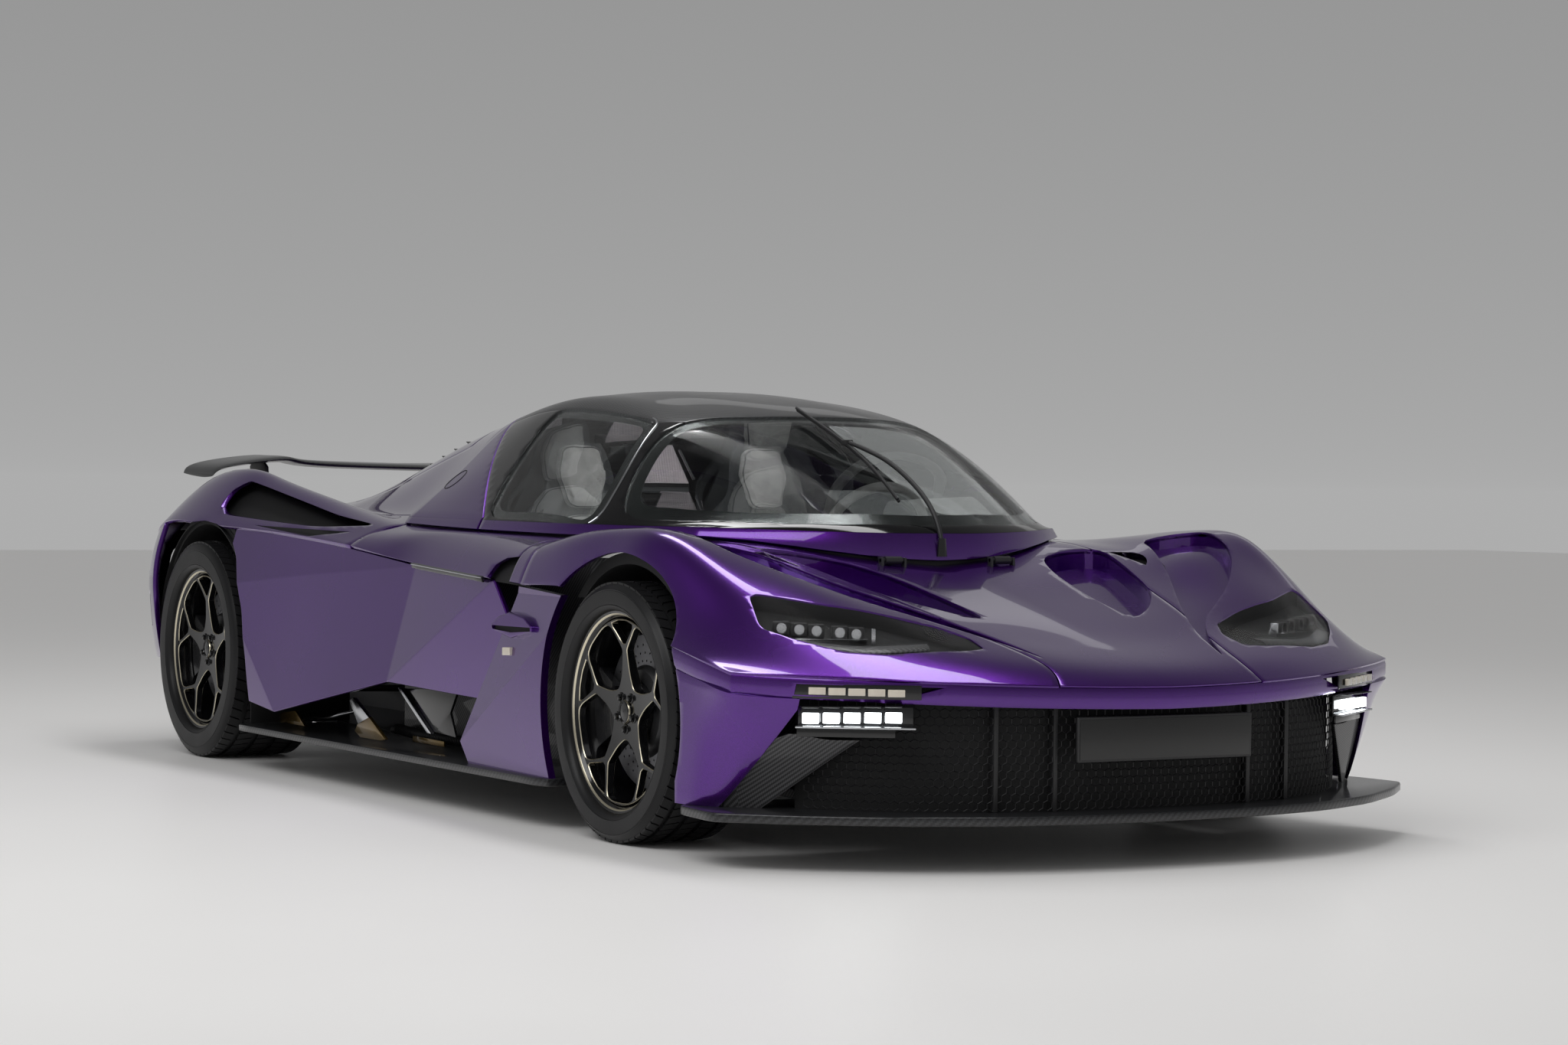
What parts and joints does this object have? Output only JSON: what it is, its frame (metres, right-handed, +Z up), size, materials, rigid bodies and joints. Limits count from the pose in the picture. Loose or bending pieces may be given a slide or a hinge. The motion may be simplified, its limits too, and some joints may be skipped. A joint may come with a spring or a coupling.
{
  "type": "mid-engined supercar",
  "caption": "Low two-seat mid-engined sports car with a one-piece lifting canopy, faceted flanks, ducted nose, splitter and rear wing, on four wheels with steering.",
  "frame": {"origin": "on the ground at the middle of the outline", "axes": "+X forward to the nose, +Y to the car's left, +Z up"},
  "size_m": [4.626, 2.07, 1.1635],
  "materials": {
    "body_paint": "metallic gloss",
    "carbon": "gloss woven carbon",
    "tyre_rubber": "matt",
    "wheel_black": "gloss black",
    "brake_disc": "turned",
    "lamp_glass": "clear over black",
    "lamp_white": "lit white",
    "lamp_red": "gloss",
    "dark_mesh": "satin",
    "plate_black": "satin",
    "window_glass": "clear",
    "trim_black": "satin",
    "exhaust_metal": "satin",
    "cast_alloy": "cast",
    "steel_black": "satin",
    "seat_cloth": "suede"
  },
  "bodies": {
    "root": {"bonnet": "body_paint", "front_fenders": "body_paint", "headlamps": "lamp_glass", "hood_ducts": "carbon", "nose_mask": "body_paint", "day_lamps": "lamp_white", "grille": "dark_mesh", "plate": "plate_black", "splitter": "carbon", "shoulders": "body_paint", "rear_fenders": "body_paint", "side_blades": "body_paint", "flanks": "body_paint", "skirts": "carbon", "roof_quarters": "body_paint", "rear_deck": "body_paint", "tail_mask": "dark_mesh", "tail_corners": "body_paint", "exhaust": "exhaust_metal", "tail_lamps": "lamp_red", "wing": "carbon", "floor": "carbon", "tub": "carbon", "engine_block": "cast_alloy", "subframes": "cast_alloy", "diffuser": "carbon", "arch_liners": "trim_black", "uprights_rear": "cast_alloy", "suspension_arms": "steel_black", "seats": "seat_cloth", "dashboard": "trim_black"},
    "canopy": {"canopy_frame": "body_paint", "windscreen": "window_glass", "side_glass": "window_glass", "wiper": "trim_black"},
    "lid": {"engine_lid": "body_paint"},
    "steering_wheel": {"steering_wheel": "trim_black"},
    "steer_left": {"upright_front_left": "cast_alloy"},
    "wheel_front_left": {"tyre_front_left": "tyre_rubber", "rim_front_left": "wheel_black", "disc_front_left": "brake_disc"},
    "wheel_rear_left": {"tyre_rear_left": "tyre_rubber", "rim_rear_left": "wheel_black", "disc_rear_left": "brake_disc"},
    "steer_right": {"upright_front_right": "cast_alloy"},
    "wheel_front_right": {"tyre_front_right": "tyre_rubber", "rim_front_right": "wheel_black", "disc_front_right": "brake_disc"},
    "wheel_rear_right": {"tyre_rear_right": "tyre_rubber", "rim_rear_right": "wheel_black", "disc_rear_right": "brake_disc"}
  },
  "joints": [
    {"name": "steer_left", "type": "hinge", "parent": "root", "child": "steer_left", "pos_m": [1.275, 0.815, 0.325], "axis": [0, 0, 1], "range_deg": [-30, 30]},
    {"name": "steer_right", "type": "hinge", "parent": "root", "child": "steer_right", "pos_m": [1.275, -0.815, 0.325], "axis": [0, 0, 1], "range_deg": [-30, 30]},
    {"name": "spin_front_left", "type": "hinge", "parent": "steer_left", "child": "wheel_front_left", "pos_m": [1.275, 0.857, 0.325], "axis": [0, 1, 0], "continuous": true},
    {"name": "spin_rear_left", "type": "hinge", "parent": "root", "child": "wheel_rear_left", "pos_m": [-1.575, 0.834, 0.345], "axis": [0, 1, 0], "continuous": true},
    {"name": "spin_front_right", "type": "hinge", "parent": "steer_right", "child": "wheel_front_right", "pos_m": [1.275, -0.857, 0.325], "axis": [0, 1, 0], "continuous": true},
    {"name": "spin_rear_right", "type": "hinge", "parent": "root", "child": "wheel_rear_right", "pos_m": [-1.575, -0.834, 0.345], "axis": [0, 1, 0], "continuous": true},
    {"name": "canopy_hinge", "type": "hinge", "parent": "root", "child": "canopy", "pos_m": [1.29, 0, 0.7], "axis": [0, 1, 0], "range_deg": [0, 50]},
    {"name": "lid_hinge", "type": "hinge", "parent": "root", "child": "lid", "pos_m": [-0.809, 0, 1.085], "axis": [0, 1, 0], "range_deg": [0, 45]},
    {"name": "steering_wheel_turn", "type": "hinge", "parent": "root", "child": "steering_wheel", "pos_m": [0.43, 0.31, 0.745], "axis": [-0.922, 0, 0.3872], "range_deg": [-360, 360]}
  ],
  "couplings": [
    {"joint": "steer_right", "follows": "steer_left", "ratio": 1},
    {"joint": "steering_wheel_turn", "follows": "steer_left", "ratio": 12}
  ]
}
